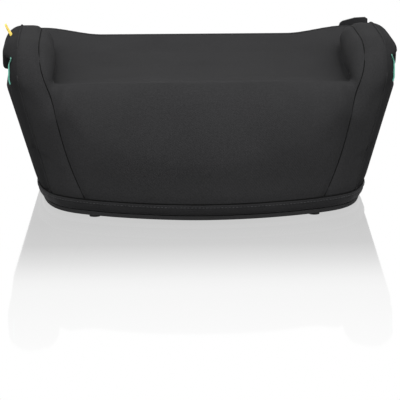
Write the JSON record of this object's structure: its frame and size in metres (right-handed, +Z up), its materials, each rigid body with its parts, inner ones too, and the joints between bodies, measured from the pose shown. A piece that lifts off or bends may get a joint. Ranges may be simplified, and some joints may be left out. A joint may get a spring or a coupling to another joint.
{
  "type": "backless booster seat",
  "caption": "Backless child car booster seat: padded fabric cover over a ribbed moulded base, armrests with green lap-belt guides, and a shoulder strap clip behind.",
  "frame": {"origin": "middle of the overall box, on the floor under the feet", "axes": "+X to the seat's right as seen from the front, +Y to the rear, +Z up; the front faces -Y"},
  "size_m": [0.4554, 0.3984, 0.1894],
  "materials": {
    "cover_fabric": "dark charcoal woven fabric",
    "band_fabric": "dark charcoal hem band",
    "guide_green": "mint green moulded plastic",
    "shell_plastic": "black moulded plastic, fine grain",
    "core_plastic": "dark grey moulded plastic",
    "foam": "grey soft foam",
    "rubber": "black rubber",
    "clip_plastic": "black moulded plastic",
    "webbing": "black woven webbing",
    "steel": "zinc plated steel",
    "tag_yellow": "yellow woven tag"
  },
  "bodies": {
    "base": {"cover_centre_panel": "cover_fabric", "cover_rear_panel": "cover_fabric", "cover_hem_band": "band_fabric", "cover_front_strip_right": "cover_fabric", "cover_front_strip_left": "cover_fabric", "cover_bolster_panel_right": "cover_fabric", "cover_bolster_panel_left": "cover_fabric", "cover_side_panel_right": "cover_fabric", "cover_side_panel_left": "cover_fabric", "armrest_core_right": "core_plastic", "armrest_core_left": "core_plastic", "armrest_foam_right": "foam", "armrest_foam_left": "foam", "belt_guide_outer_right": "guide_green", "belt_guide_outer_left": "guide_green", "belt_guide_inner_right": "guide_green", "belt_guide_inner_left": "guide_green", "base_shell": "shell_plastic", "seat_foam": "foam", "armrest_screws": "steel", "feet": "rubber", "cover_ties": "webbing", "cover_hooks": "clip_plastic", "strap_anchor": "clip_plastic", "strap_anchor_screws": "steel", "shoulder_strap": "webbing", "tag": "tag_yellow"},
    "clip": {"belt_clip": "clip_plastic"},
    "adjuster": {"strap_adjuster": "clip_plastic"}
  },
  "joints": [
    {"name": "clip_hinge", "type": "hinge", "parent": "base", "child": "clip", "pos_m": [0.18, 0.19429, 0.114], "axis": [-1, 0, 0], "range_deg": [0, 95]},
    {"name": "adjuster_slide", "type": "slide", "parent": "base", "child": "adjuster", "axis": [0, 0, 1], "range_m": [-0.006, 0.008]}
  ]
}
